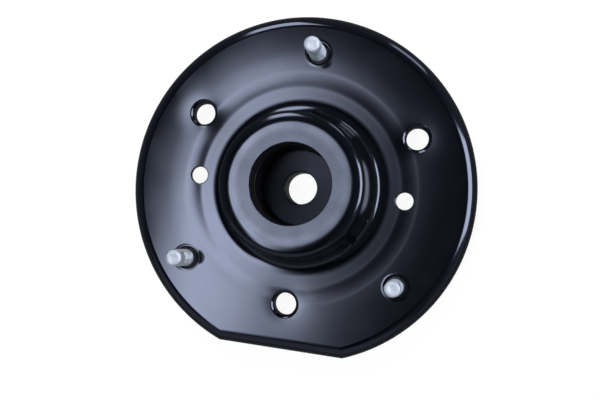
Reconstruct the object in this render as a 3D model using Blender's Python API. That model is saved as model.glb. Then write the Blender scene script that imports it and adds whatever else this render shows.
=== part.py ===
"""Strut mount: pressed plate with three studs, rubber isolator, inner cup and ball bearing.

Metres, Z up. The origin is on the rod's axis at the level of the plate's flat top face.
The first stud lies towards +Y and the straight side of the plate towards -Y.
"""
import math

import bmesh
import bpy
from mathutils import Matrix, Vector

MM = 0.001

# Fit between pieces that touch in the real thing
GAP = 0.3

# Pressed plate
PLATE_RADIUS = 104.0
CHORD_DISTANCE = 97.0
SHEET = 3.2
BEND_RADIUS = 7.5
RIM_BOTTOM = -20.5
DOME_TOP = 37.5
DOME_OPENING = 23.4

# Shallow ring pressed into the flat round the dome: radius and height
RING_HOLLOW = ((80.0, 0.0), (70.0, -0.045), (66.2, -0.085), (62.3, -0.04), (60.2, 0.0))

# Dome's section as arcs: kind, centre, radius, and the slope in degrees at both ends
DOME_FOOT = ("hollow", (52.55, 17.03), 17.0, 2.2, 18.2)
DOME_ROOT = ("hollow", (48.30, 4.06), 3.35, 18.2, 42.2)
DOME_FILLET = ("hollow", (51.37, 7.505), 8.0, 42.2, 86.75)
DOME_SHOULDER = ("crown", (37.93, 33.142), 3.98, 86.75, 18.5)
DOME_CROWN = ("crown", (36.09, 27.62), 9.8, 18.5, 6.5)
DOME_LIP = ("crown", (34.71, 15.5), 22.0, 6.5, 0.0)
DOME_FOOT_EDGE = 54.0
STEPS_CHORD = 4
STEPS_ARC = 32

# Holes and studs: angle from +Y towards -X, distance from the axis
STUD_PLACES = ((0.0, 81.0), (128.5, 81.0), (-128.5, 81.0))
DRAWN_HOLES = ((60.0, 74.8), (-60.0, 74.8), (180.0, 69.5))
SMALL_HOLES = ((90.0, 62.3), (-90.0, 62.3))
DRAWN_BORE = 6.75
DRAWN_EDGE = 1.9
DRAWN_BOTTOM = -9.3
SMALL_BORE = 5.2
STUD_HOLE = 6.9
STUD_TIP = 28.6
THREAD_RADIUS = 5.0

# Inner cup, rod seat and bearing
CUP_BORE = 23.3
CUP_SHEET = 2.2
CUP_TOP = 21.5
BEARING_TOP = -2.5
BEARING_WIDTH = 15.0
BEARING_RADIUS = 26.0
BEARING_BORE = 9.6
PITCH_RADIUS = 18.0
BALL_RADIUS = 4.0
BALL_COUNT = 8
GROOVE_RADIUS = BALL_RADIUS + GAP
BEARING_MIDDLE = BEARING_TOP - BEARING_WIDTH / 2


def clear_scene():
    for thing in list(bpy.data.objects):
        bpy.data.objects.remove(thing, do_unlink=True)


def make_material(name, colour, roughness, metallic):
    material = bpy.data.materials.new(name)
    material.use_nodes = True
    shader = material.node_tree.nodes["Principled BSDF"]
    shader.inputs["Base Color"].default_value = (*colour, 1.0)
    shader.inputs["Roughness"].default_value = roughness
    shader.inputs["Metallic"].default_value = metallic
    material.diffuse_color = (*colour, 1.0)
    material.roughness = roughness
    material.metallic = metallic
    return material


def make_object(name, bm, material):
    """Put a mesh into the scene with its faces turned outward."""
    bmesh.ops.recalc_face_normals(bm, faces=bm.faces[:])
    mesh = bpy.data.meshes.new(name)
    bm.to_mesh(mesh)
    bm.free()
    thing = bpy.data.objects.new(name, mesh)
    bpy.context.scene.collection.objects.link(thing)
    if material is not None:
        mesh.materials.append(material)
    for polygon in mesh.polygons:
        polygon.use_smooth = True
    return thing


def turned(name, profile, steps, material, closed=True, place=(0.0, 0.0)):
    """Turn a profile of (radius, height) points in millimetres about the Z axis.

    A closed profile gives a ring. An open one starts and ends on the axis.
    """
    bm = bmesh.new()
    points = [bm.verts.new((r * MM, 0.0, z * MM)) for r, z in profile]
    edges = [bm.edges.new((a, b)) for a, b in zip(points, points[1:])]
    if closed:
        edges.append(bm.edges.new((points[-1], points[0])))
    bmesh.ops.spin(bm, geom=points + edges, cent=(0, 0, 0), axis=(0, 0, 1),
                   angle=math.tau, steps=steps, use_merge=True)
    bmesh.ops.remove_doubles(bm, verts=bm.verts[:], dist=0.00001)
    if not closed:
        # A few degrees keep a cutter's corners off the plate's own edges
        bmesh.ops.rotate(bm, verts=bm.verts[:], cent=(0, 0, 0), matrix=Matrix.Rotation(0.065, 3, "Z"))
    bmesh.ops.translate(bm, verts=bm.verts[:], vec=(place[0] * MM, place[1] * MM, 0.0))
    return make_object(name, bm, material)


def arc_points(centre, radius, start, end, steps):
    """Points on an arc; angles in degrees from the +radius direction towards +Z."""
    points = []
    for i in range(steps + 1):
        angle = math.radians(start + (end - start) * i / steps)
        points.append((centre[0] + radius * math.cos(angle), centre[1] + radius * math.sin(angle)))
    return points


def dome_arc(arc, steps, inside=0.0, back=False):
    """Points on one of the dome's arcs, moved into the sheet by a thickness where asked."""
    kind, centre, radius, start, end = arc
    if kind == "hollow":
        points = arc_points(centre, radius + inside, 270 - start, 270 - end, steps)
    else:
        points = arc_points(centre, radius - inside, 90 - start, 90 - end, steps)
    return points[::-1] if back else points


def boolean(target, cutter, operation):
    """Join the cutter to the target or take it away, and drop the cutter."""
    cutter.display_type = "WIRE"
    cutter.hide_render = True
    modifier = target.modifiers.new("shape", "BOOLEAN")
    modifier.operation = operation
    modifier.solver = "EXACT"
    modifier.object = cutter
    graph = bpy.context.evaluated_depsgraph_get()
    shaped = bpy.data.meshes.new_from_object(target.evaluated_get(graph))
    target.modifiers.remove(modifier)
    bm = bmesh.new()
    bm.from_mesh(shaped)
    bmesh.ops.remove_doubles(bm, verts=bm.verts[:], dist=0.000002)
    bm.to_mesh(shaped)
    bm.free()
    target.data = shaped
    bpy.data.objects.remove(cutter, do_unlink=True)


def polar(angle, radius):
    """A place on the plate: angle in degrees from +Y towards -X."""
    turn = math.radians(angle)
    return (-radius * math.sin(turn), radius * math.cos(turn))


def outline_ring(inset):
    """The plate's outline moved inwards: an arc cut off by the chord, sharp at both corners."""
    radius = PLATE_RADIUS - inset
    distance = CHORD_DISTANCE - inset
    corner = math.acos(distance / radius)
    half = [(distance * math.tan(corner * i / STEPS_CHORD), -distance) for i in range(STEPS_CHORD)]
    for i in range(STEPS_ARC + 1):
        turn = corner + (math.pi - corner) * i / STEPS_ARC
        half.append((radius * math.sin(turn), -radius * math.cos(turn)))
    mirrored = [(-x, y) for x, y in reversed(half[1:-1])]
    return half + mirrored


def circle_ring(radius):
    """A circle with as many points as the outline has, starting at the middle of the chord side."""
    count = 2 * (STEPS_CHORD + STEPS_ARC)
    ring = []
    for i in range(count):
        turn = math.tau * i / count
        ring.append((radius * math.sin(turn), -radius * math.cos(turn)))
    return ring


def plate_section():
    """The sheet's closed section, from the rim's foot over the top and back underneath."""
    inner_bend = BEND_RADIUS - SHEET
    rings = [("inset", 0.0, RIM_BOTTOM)]
    for d, z in arc_points((BEND_RADIUS, -BEND_RADIUS), BEND_RADIUS, 180, 90, 4):
        rings.append(("inset", d, z))
    top = list(RING_HOLLOW) + [(DOME_FOOT_EDGE, 0.0)]
    top += dome_arc(DOME_FOOT, 2) + dome_arc(DOME_ROOT, 1)[1:] + dome_arc(DOME_FILLET, 2)[1:]
    top += dome_arc(DOME_SHOULDER, 3) + dome_arc(DOME_CROWN, 1)[1:] + dome_arc(DOME_LIP, 1)[1:]
    top += [(DOME_OPENING + 0.4, DOME_TOP), (DOME_OPENING, DOME_TOP - 0.4)]
    under = [(DOME_OPENING, DOME_TOP - SHEET)] + dome_arc(DOME_LIP, 1, SHEET, back=True)
    under += dome_arc(DOME_CROWN, 1, SHEET, back=True)[1:] + dome_arc(DOME_SHOULDER, 1, SHEET, back=True)[1:]
    under += dome_arc(DOME_FILLET, 2, SHEET, back=True) + dome_arc(DOME_ROOT, 1, SHEET, back=True)[1:]
    under += dome_arc(DOME_FOOT, 1, SHEET, back=True)[1:] + [(DOME_FOOT_EDGE, -SHEET)]
    rings += [("round", r, z) for r, z in top + under]
    for d, z in arc_points((BEND_RADIUS, -BEND_RADIUS), inner_bend, 90, 180, 2):
        rings.append(("inset", d, z))
    rings.append(("inset", SHEET, RIM_BOTTOM))
    return rings


def build_plate(material):
    """Lay the section round the outline, then pierce and draw the holes."""
    bm = bmesh.new()
    loops = []
    for kind, size, height in plate_section():
        ring = outline_ring(size) if kind == "inset" else circle_ring(size)
        loops.append([bm.verts.new((x * MM, y * MM, height * MM)) for x, y in ring])
    for here, there in zip(loops, loops[1:] + loops[:1]):
        for i in range(len(here)):
            j = (i + 1) % len(here)
            bm.faces.new((here[i], here[j], there[j], there[i]))
    plate = make_object("upper_plate", bm, material)

    socket = [(0.0, -6.0), (STUD_HOLE, -6.0), (STUD_HOLE, -0.8), (STUD_HOLE + 1.2, 0.2), (0.0, 0.2)]
    for place in STUD_PLACES:
        boolean(plate, turned("socket", socket, 20, None, closed=False, place=polar(*place)), "DIFFERENCE")

    pierced = [(0.0, -6.0), (SMALL_BORE, -6.0), (SMALL_BORE, 3.0), (0.0, 3.0)]
    for place in SMALL_HOLES:
        boolean(plate, turned("pierced", pierced, 20, None, closed=False, place=polar(*place)), "DIFFERENCE")

    collar_radius = DRAWN_BORE + 2.3
    collar = [(0.0, DRAWN_BOTTOM), (collar_radius, DRAWN_BOTTOM), (collar_radius, -SHEET - 1.4),
              (collar_radius + 0.4, -SHEET - 0.4), (collar_radius + 1.6, -SHEET + 0.25),
              (collar_radius - 1.0, -SHEET / 2), (0.0, -SHEET / 2)]
    for place in DRAWN_HOLES:
        boolean(plate, turned("collar", collar, 20, None, closed=False, place=polar(*place)), "UNION")

    rolled = arc_points((DRAWN_BORE + DRAWN_EDGE, -DRAWN_EDGE), DRAWN_EDGE, 180, 90, 4)
    bore = [(0.0, DRAWN_BOTTOM - 3), (DRAWN_BORE, DRAWN_BOTTOM - 3)] + rolled
    bore += [(DRAWN_BORE + DRAWN_EDGE + 0.7, 0.3), (DRAWN_BORE + DRAWN_EDGE + 2.0, 1.3), (0.0, 1.3)]
    for place in DRAWN_HOLES:
        boolean(plate, turned("bore", bore, 20, None, closed=False, place=polar(*place)), "DIFFERENCE")

    for polygon in plate.data.polygons:
        polygon.use_smooth = True
    return plate


def build_studs(material):
    """Studs pressed in from below: head, knurled collar in the plate, relief, thread and lead point."""
    lead = 19.7
    profile = [(0.0, -SHEET - GAP - 3.1), (7.9, -SHEET - GAP - 3.1), (8.5, -SHEET - GAP - 2.5),
               (8.5, -SHEET - GAP), (STUD_HOLE - GAP, -SHEET - GAP), (STUD_HOLE - GAP, -0.8),
               (STUD_HOLE - GAP - 0.3, -0.5), (5.9, -0.5), (5.7, -1.5), (4.5, -1.5), (4.5, 0.5),
               (THREAD_RADIUS, 1.0), (THREAD_RADIUS, lead), (4.65, lead + 0.4), (4.65, STUD_TIP - 1.0),
               (3.6, STUD_TIP), (0.0, STUD_TIP)]
    for number, place in enumerate(STUD_PLACES, start=1):
        stud = turned("stud_%d" % number, profile, 20, material, closed=False)
        x, y = polar(*place)
        stud.location = (x * MM, y * MM, 0.0)


def build_isolator(material):
    """Moulded rubber ring that fills the dome round the cup and lines the well above the cup's edge."""
    side = CUP_BORE + CUP_SHEET + GAP
    seat = BEARING_RADIUS + GAP + CUP_SHEET + GAP
    profile = [(CUP_BORE + 0.4, 33.9), (CUP_BORE, 33.5), (CUP_BORE, CUP_TOP + GAP), (side, CUP_TOP + GAP),
               (side, 1.0), (seat - 0.9, 0.4), (seat, -0.6), (seat, -10.6), (29.8, -11.2), (31.2, -8.2),
               (32.6, -8.6), (34.6, -14.9), (43.3, -14.9), (44.7, -13.5), (44.7, -3.6), (41.4, 1.6),
               (39.8, 6.6), (38.3, 31.6), (36.9, 33.5), (31.6, 33.9), (30.2, 29.5), (28.0, 29.5),
               (26.6, 33.9)]
    turned("rubber_isolator", profile, 36, material)


def build_cup(material):
    """Drawn cup: a narrow neck for the rod's nut and a wider seat below that holds the bearing."""
    neck = CUP_BORE + CUP_SHEET
    seat = BEARING_RADIUS + GAP
    shoulder = BEARING_TOP + GAP
    foot = BEARING_TOP - BEARING_WIDTH - GAP
    profile = [(CUP_BORE + 0.3, CUP_TOP), (CUP_BORE, CUP_TOP - 0.3), (CUP_BORE, shoulder), (seat, shoulder),
               (seat, foot), (24.4, foot), (24.4, foot - 1.8), (seat + CUP_SHEET - 0.9, foot - 1.8),
               (seat + CUP_SHEET, foot - 0.9), (seat + CUP_SHEET, -0.9), (seat + CUP_SHEET - 0.9, 0.0),
               (neck, 0.6), (neck, CUP_TOP - 0.3), (neck - 0.3, CUP_TOP)]
    turned("inner_cup", profile, 36, material)


def build_retainer(material):
    """Pressed dish welded under the plate; its floor carries the rubber."""
    under = -SHEET - GAP
    profile = [(56.6, under), (48.9, under), (46.4, under - 1.2), (45.3, under - 3.5), (45.3, -13.8),
               (43.9, -15.2), (34.0, -15.2), (34.0, -17.4), (44.6, -17.4), (46.7, -16.6), (47.5, -14.5),
               (47.5, under - 4.1), (48.2, under - 2.7), (49.7, under - 2.2), (56.6, under - 2.2)]
    turned("lower_retainer", profile, 40, material)


def build_bearing(steel, cage_steel, seal_rubber):
    """Deep-groove ball bearing with two seals, a pressed cage and its balls."""
    top = BEARING_TOP
    foot = BEARING_TOP - BEARING_WIDTH
    middle = BEARING_MIDDLE
    centre = (PITCH_RADIUS, middle)

    inner_land = PITCH_RADIUS - 2.8
    half = math.degrees(math.acos(2.8 / GROOVE_RADIUS))
    groove = arc_points(centre, GROOVE_RADIUS, 180 - half, 180 + half, 4)
    inner = [(BEARING_BORE + 0.5, top), (inner_land - 0.3, top), (inner_land, top - 0.3)] + groove
    inner += [(inner_land, foot + 0.3), (inner_land - 0.3, foot), (BEARING_BORE + 0.5, foot),
              (BEARING_BORE, foot + 0.5), (BEARING_BORE, top - 0.5)]
    turned("bearing_inner_ring", inner, 32, steel)

    outer_land = PITCH_RADIUS + 2.8
    recess = outer_land + 1.1
    groove = arc_points(centre, GROOVE_RADIUS, half, -half, 4)
    outer = [(recess, top), (recess, top - 2.0), (outer_land, top - 2.0)] + groove
    outer += [(outer_land, foot + 2.0), (recess, foot + 2.0), (recess, foot), (BEARING_RADIUS - 0.6, foot),
              (BEARING_RADIUS, foot + 0.6), (BEARING_RADIUS, top - 0.6), (BEARING_RADIUS - 0.6, top)]
    turned("bearing_outer_ring", outer, 32, steel)

    for name, face, way in (("upper_seal", top, -1.0), ("lower_seal", foot, 1.0)):
        seal = [(inner_land + GAP, face + way * 0.6), (inner_land + 1.0, face + way * 0.3),
                (recess - GAP, face + way * 0.3), (recess - GAP, face + way * 1.7),
                (inner_land + GAP, face + way * 1.5)]
        turned(name, seal, 32, seal_rubber)

    cage = turned("ball_cage", [(17.0, middle - 5.3), (19.0, middle - 5.3), (19.0, middle + 5.3),
                                (17.0, middle + 5.3)], 40, cage_steel)
    for number in range(BALL_COUNT):
        turn = math.tau * number / BALL_COUNT
        bm = bmesh.new()
        bmesh.ops.create_cone(bm, cap_ends=True, segments=14, radius1=(GROOVE_RADIUS + 0.1) * MM,
                              radius2=(GROOVE_RADIUS + 0.1) * MM, depth=0.008,
                              matrix=Matrix.Rotation(math.pi / 2, 4, "Y"))
        pocket = make_object("pocket", bm, None)
        pocket.matrix_world = (Matrix.Rotation(turn, 4, "Z")
                               @ Matrix.Translation(Vector((PITCH_RADIUS * MM, 0.0, middle * MM))))
        bpy.context.view_layer.update()
        boolean(cage, pocket, "DIFFERENCE")

        bm = bmesh.new()
        bmesh.ops.create_uvsphere(bm, u_segments=10, v_segments=8, radius=BALL_RADIUS * MM)
        ball = make_object("ball_%d" % (number + 1), bm, steel)
        ball.location = (PITCH_RADIUS * math.cos(turn) * MM, PITCH_RADIUS * math.sin(turn) * MM, middle * MM)
    for polygon in cage.data.polygons:
        polygon.use_smooth = True


def build_seat(material):
    """Washer on the inner ring that the rod's nut clamps; its thin rim covers the bearing."""
    profile = [(9.9, -2.2), (15.2, -2.2), (15.9, -1.5), (22.3, -1.4), (22.6, -1.1), (22.6, -0.4),
               (22.2, 0.0), (10.2, 0.0), (9.9, -0.3)]
    turned("seat_washer", profile, 36, material)


clear_scene()
black_paint = make_material("black_paint", (0.012, 0.013, 0.017), 0.22, 0.0)
satin_black = make_material("satin_black", (0.02, 0.02, 0.022), 0.5, 0.0)
matte_black = make_material("matte_black", (0.03, 0.03, 0.034), 0.7, 0.0)
zinc_plate = make_material("zinc_plate", (0.62, 0.64, 0.68), 0.32, 1.0)
bearing_steel = make_material("bearing_steel", (0.5, 0.5, 0.5), 0.25, 1.0)
cage_sheet = make_material("cage_sheet", (0.42, 0.41, 0.39), 0.4, 1.0)
moulded_rubber = make_material("moulded_rubber", (0.018, 0.018, 0.019), 0.75, 0.0)
seal_rubber = make_material("seal_rubber", (0.022, 0.022, 0.024), 0.65, 0.0)

build_plate(black_paint)
build_studs(zinc_plate)
build_isolator(moulded_rubber)
build_cup(satin_black)
build_retainer(satin_black)
build_bearing(bearing_steel, cage_sheet, seal_rubber)
build_seat(matte_black)
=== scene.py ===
import math

import bpy
import numpy as np
from mathutils import Matrix, Vector


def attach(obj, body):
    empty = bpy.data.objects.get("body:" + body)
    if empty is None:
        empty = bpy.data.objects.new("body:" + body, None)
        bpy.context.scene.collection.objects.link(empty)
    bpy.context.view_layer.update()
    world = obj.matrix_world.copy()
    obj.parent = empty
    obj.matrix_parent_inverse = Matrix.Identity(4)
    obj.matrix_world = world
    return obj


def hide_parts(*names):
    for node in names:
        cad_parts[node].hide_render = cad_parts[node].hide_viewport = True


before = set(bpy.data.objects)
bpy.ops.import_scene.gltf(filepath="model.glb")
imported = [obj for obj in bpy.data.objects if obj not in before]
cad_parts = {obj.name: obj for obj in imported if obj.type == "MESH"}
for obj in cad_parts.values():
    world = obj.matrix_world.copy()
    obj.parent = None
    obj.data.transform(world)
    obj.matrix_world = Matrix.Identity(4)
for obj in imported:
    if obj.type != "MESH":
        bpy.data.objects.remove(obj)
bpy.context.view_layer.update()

# Strut mount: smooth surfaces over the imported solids, procedural finishes, lights and camera.
# Shapes are in millimetres and degrees, finishes in metres; meshes are written in metres.

mm = 0.001
imageTurn = math.radians(7.81)  # the picture's frame about Z, as seen from the part's


# Mesh helpers

def meshFromFaces(name, points, *faceSets):
    # Each face set is an array with one face a row: three or four point numbers
    corners = np.concatenate([faces.ravel() for faces in faceSets])
    sizes = np.concatenate([np.full(len(faces), faces.shape[1]) for faces in faceSets])
    mesh = bpy.data.meshes.new(name)
    mesh.vertices.add(len(points))
    mesh.vertices.foreach_set("co", np.asarray(points, dtype=np.float32).ravel())
    mesh.loops.add(len(corners))
    mesh.loops.foreach_set("vertex_index", corners.astype(np.int32))
    mesh.polygons.add(len(sizes))
    mesh.polygons.foreach_set("loop_start", (np.cumsum(sizes) - sizes).astype(np.int32))
    mesh.update(calc_edges=True)
    return mesh


def meshFromGrid(name, grid):
    # A surface through a rows x columns x 3 array of points, closed both ways round
    rows, columns = grid.shape[:2]
    index = np.arange(rows * columns).reshape(rows, columns)
    nextRow, nextColumn = np.roll(index, -1, axis=0), np.roll(index, -1, axis=1)
    both = np.roll(nextRow, -1, axis=1)
    quads = np.stack([index, nextColumn, both, nextRow], axis=-1)
    return meshFromFaces(name, grid.reshape(-1, 3), quads.reshape(-1, 4))


def cappedMesh(name, grid):
    # A grid closed round its columns, with a fan at each end row
    rows, columns = grid.shape[:2]
    index = np.arange(rows * columns).reshape(rows, columns)
    right = np.roll(index, -1, axis=1)
    quads = np.stack([index[:-1], right[:-1], right[1:], index[1:]], axis=-1).reshape(-1, 4)
    points = np.vstack([grid.reshape(-1, 3), grid[0].mean(axis=0), grid[-1].mean(axis=0)])
    first, last = np.full(columns, len(points) - 2), np.full(columns, len(points) - 1)
    foot = np.column_stack([first, right[0], index[0]])
    head = np.column_stack([last, index[-1], right[-1]])
    return meshFromFaces(name, points, quads, foot, head)


def smoothFaces(mesh):
    mesh.polygons.foreach_set("use_smooth", np.ones(len(mesh.polygons), dtype=bool))


def addObject(name, data, material=None):
    thing = bpy.data.objects.new(name, data)
    bpy.context.scene.collection.objects.link(thing)
    if material is not None:
        data.materials.clear()
        data.materials.append(material)
    return thing


def standFor(thing, body, slot, *nodes):
    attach(thing, body)
    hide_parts(*nodes)
    return thing


def turned(r, z, angle):
    # Points (r cos a, r sin a, z), with the three arrays spread to one shape
    r, z, angle = np.broadcast_arrays(r, z, angle)
    return np.stack([r * np.cos(angle), r * np.sin(angle), z], axis=-1)


def arcPoints(centre, radius, start, end, steps):
    # Points on an arc: centre + radius * (cos a, sin a), a in degrees from start to end
    a = np.radians(np.linspace(start, end, steps + 1))
    return np.stack([centre[0] + radius * np.cos(a), centre[1] + radius * np.sin(a)], axis=1)


def roundedProfile(points, radius, steps=5):
    # A closed profile with every corner replaced by an arc, no larger than its edges allow. The
    # arc's tangent length is radius * tan(turn / 2), where turn is the change of direction.
    # Rows are radius, height and the normal on the left of the way round
    mostOfEdge, leastTurn = 0.42, 0.3
    corners = np.asarray(points, dtype=float)
    after = np.roll(corners, -1, axis=0)
    if np.sum(corners[:, 0] * after[:, 1] - after[:, 0] * corners[:, 1]) < 0:
        corners = corners[::-1]
    rows = []
    for i, q in enumerate(corners):
        a, b = corners[i - 1] - q, corners[(i + 1) % len(corners)] - q
        la, lb = np.linalg.norm(a), np.linalg.norm(b)
        a, b = a / la, b / lb
        normalIn, normalOut = np.array([-a[1], a[0]]), np.array([b[1], -b[0]])
        turn = math.pi - math.acos(max(-1.0, min(1.0, float(a @ b))))
        if turn < leastTurn:
            mean = normalIn + normalOut
            rows.append(np.concatenate([q, mean / np.linalg.norm(mean)]))
            continue
        reach = min(radius * math.tan(turn / 2), mostOfEdge * la, mostOfEdge * lb)
        r = reach / math.tan(turn / 2)
        middle = (a + b) / np.linalg.norm(a + b)
        centre = q + middle * (r / math.cos(turn / 2))
        for t in np.linspace(0.0, 1.0, steps + 1):
            normal = math.sin((1 - t) * turn) * normalIn + math.sin(t * turn) * normalOut
            normal /= math.sin(turn)
            side = 1.0 if float(normal @ -middle) > 0 else -1.0
            rows.append(np.concatenate([centre + side * r * normal, normal]))
    return np.array(rows)


def turnedMesh(name, profile, steps):
    # A closed profile turned about Z: x = r cos a, y = r sin a, z = height; its normals turn with it
    angle = np.linspace(0.0, math.tau, steps, endpoint=False)
    r, z, outward, upward = profile.T[:, :, None]
    mesh = meshFromGrid(name, turned(r, z, angle) * mm)
    smoothFaces(mesh)
    normals = turned(outward, upward, angle)
    mesh.normals_split_custom_set_from_vertices(normals.reshape(-1, 3).tolist())
    return mesh


# Shader helpers

class Nodes:
    # Short ways to add and join nodes in one tree

    def __init__(self, tree):
        self.tree = tree

    def add(self, kind, sockets=(), **settings):
        # Sockets are a dictionary by name or number, or plain values in their order
        node = self.tree.nodes.new(kind)
        for key, value in settings.items():
            setattr(node, key, value)
        for key, value in sockets.items() if isinstance(sockets, dict) else enumerate(sockets):
            self.feed(node.inputs[key], value)
        return node

    def feed(self, socket, value):
        if hasattr(value, "is_output"):
            self.tree.links.new(value, socket)
        elif socket.type == "RGBA":
            socket.default_value = (*value, 1.0)
        else:
            socket.default_value = value

    def math(self, operation, *values):
        return self.add("ShaderNodeMath", values, operation=operation).outputs[0]

    def plus(self, a, b):
        return self.math("ADD", a, b)

    def minus(self, a, b):
        return self.math("SUBTRACT", a, b)

    def times(self, a, b):
        return self.math("MULTIPLY", a, b)

    def objectPlace(self):
        return self.add("ShaderNodeTexCoord").outputs["Object"]

    def split(self, vector):
        return self.add("ShaderNodeSeparateXYZ", (vector,)).outputs[:3]

    def noise(self, vector, scale, detail=3.0, roughness=0.5, distortion=0.0):
        node = self.add("ShaderNodeTexNoise", {
            "Vector": vector, "Scale": scale, "Detail": detail, "Roughness": roughness,
            "Distortion": distortion})
        return node.outputs["Fac"]

    def ramp(self, value, low, high, toLow=0.0, toHigh=1.0):
        # Smooth step from toLow to toHigh while the value goes from low to high
        node = self.add("ShaderNodeMapRange", (value, low, high, toLow, toHigh),
                        interpolation_type="SMOOTHSTEP")
        return node.outputs["Result"]

    def mixColour(self, factor, a, b):
        return self.add("ShaderNodeMix", {0: factor, 6: a, 7: b}, data_type="RGBA").outputs[2]

    def mixValue(self, factor, a, b):
        return self.add("ShaderNodeMix", {0: factor, 2: a, 3: b}, data_type="FLOAT").outputs[0]

    def mixShader(self, factor, a, b):
        return self.add("ShaderNodeMixShader", (factor, a, b)).outputs[0]


def newGroup(name, inputs, outputs):
    # A node group: inputs are (name, default or None for a vector) and outputs are names of values
    group = bpy.data.node_groups.new(name, "ShaderNodeTree")
    for label, value in inputs:
        kind = "NodeSocketVector" if value is None else "NodeSocketFloat"
        socket = group.interface.new_socket(name=label, in_out="INPUT", socket_type=kind)
        if value is not None:
            socket.default_value = value
    for label in outputs:
        group.interface.new_socket(name=label, in_out="OUTPUT", socket_type="NodeSocketFloat")
    return group, Nodes(group), group.nodes.new("NodeGroupInput").outputs


def makeMottleGroup():
    # Cloudy change of tone and gloss, as paint and plating have: two noises of different size
    group, n, given = newGroup("mottle", [("Vector", None), ("Scale", 40.0), ("Fine", 600.0)],
                               ["Cloud", "Grain"])
    cloud = n.noise(given["Vector"], given["Scale"], 4.0, 0.55, 0.3)
    grain = n.noise(given["Vector"], given["Fine"], 3.0, 0.6)
    n.add("NodeGroupOutput", {"Cloud": cloud, "Grain": grain})
    return group


def makeSpeckGroup():
    # Sparse small specks: a Voronoi cell keeps a dot at its centre where its red is under the share
    group, n, given = newGroup("specks", [("Vector", None), ("Scale", 150.0), ("Size", 0.12),
                                          ("Share", 0.05)], ["Mask"])
    cells = n.add("ShaderNodeTexVoronoi", {"Vector": given["Vector"], "Scale": given["Scale"]})
    red, green = n.add("ShaderNodeSeparateColor", (cells.outputs["Color"],)).outputs[:2]
    chosen = n.math("LESS_THAN", red, given["Share"])
    size = n.times(given["Size"], n.plus(green, 0.4))
    dot = n.math("LESS_THAN", cells.outputs["Distance"], size)
    n.add("NodeGroupOutput", {"Mask": n.times(chosen, dot)})
    return group


mottleGroup = makeMottleGroup()
speckGroup = makeSpeckGroup()


def startMaterial(name, look):
    # A Principled material with the shared mottle on Object coordinates
    material = bpy.data.materials.new(name)
    material.use_nodes = True
    n = Nodes(material.node_tree)
    shader = material.node_tree.nodes["Principled BSDF"].inputs
    place = n.objectPlace()
    mottle = n.add("ShaderNodeGroup", {
        "Vector": place, "Scale": look["cloudScale"], "Fine": look["grainScale"],
    }, node_tree=mottleGroup).outputs
    n.feed(shader["Metallic"], look["metallic"])
    n.feed(shader["IOR"], 1.5)
    n.feed(shader["Specular IOR Level"], look.get("specular", 0.5))
    n.feed(shader["Specular Tint"], look.get("specularTint", (1.0, 1.0, 1.0)))
    return material, n, shader, place, mottle["Cloud"], mottle["Grain"]


def makeFinish(name, look, masks=()):
    # A plain finish: tone follows the cloud, gloss and a fine bump follow the grain. A mask is a
    # function of the nodes, the place and the tone so far, and gives the next tone
    material, n, shader, place, cloud, grain = startMaterial(name, look)
    tone = n.mixColour(n.ramp(cloud, 0.3, 0.7), look["base"], look["baseDull"])
    for mask in masks:
        tone = mask(n, place, tone)
    n.feed(shader["Base Color"], tone)
    n.feed(shader["Roughness"], n.ramp(grain, 0.3, 0.7, *look["roughness"]))
    strength, distance = look["bump"]
    bump = n.add("ShaderNodeBump", {"Height": grain, "Strength": strength, "Distance": distance})
    n.feed(shader["Normal"], bump.outputs[0])
    return material


print("node groups ready")


# Pressed plate

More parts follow.
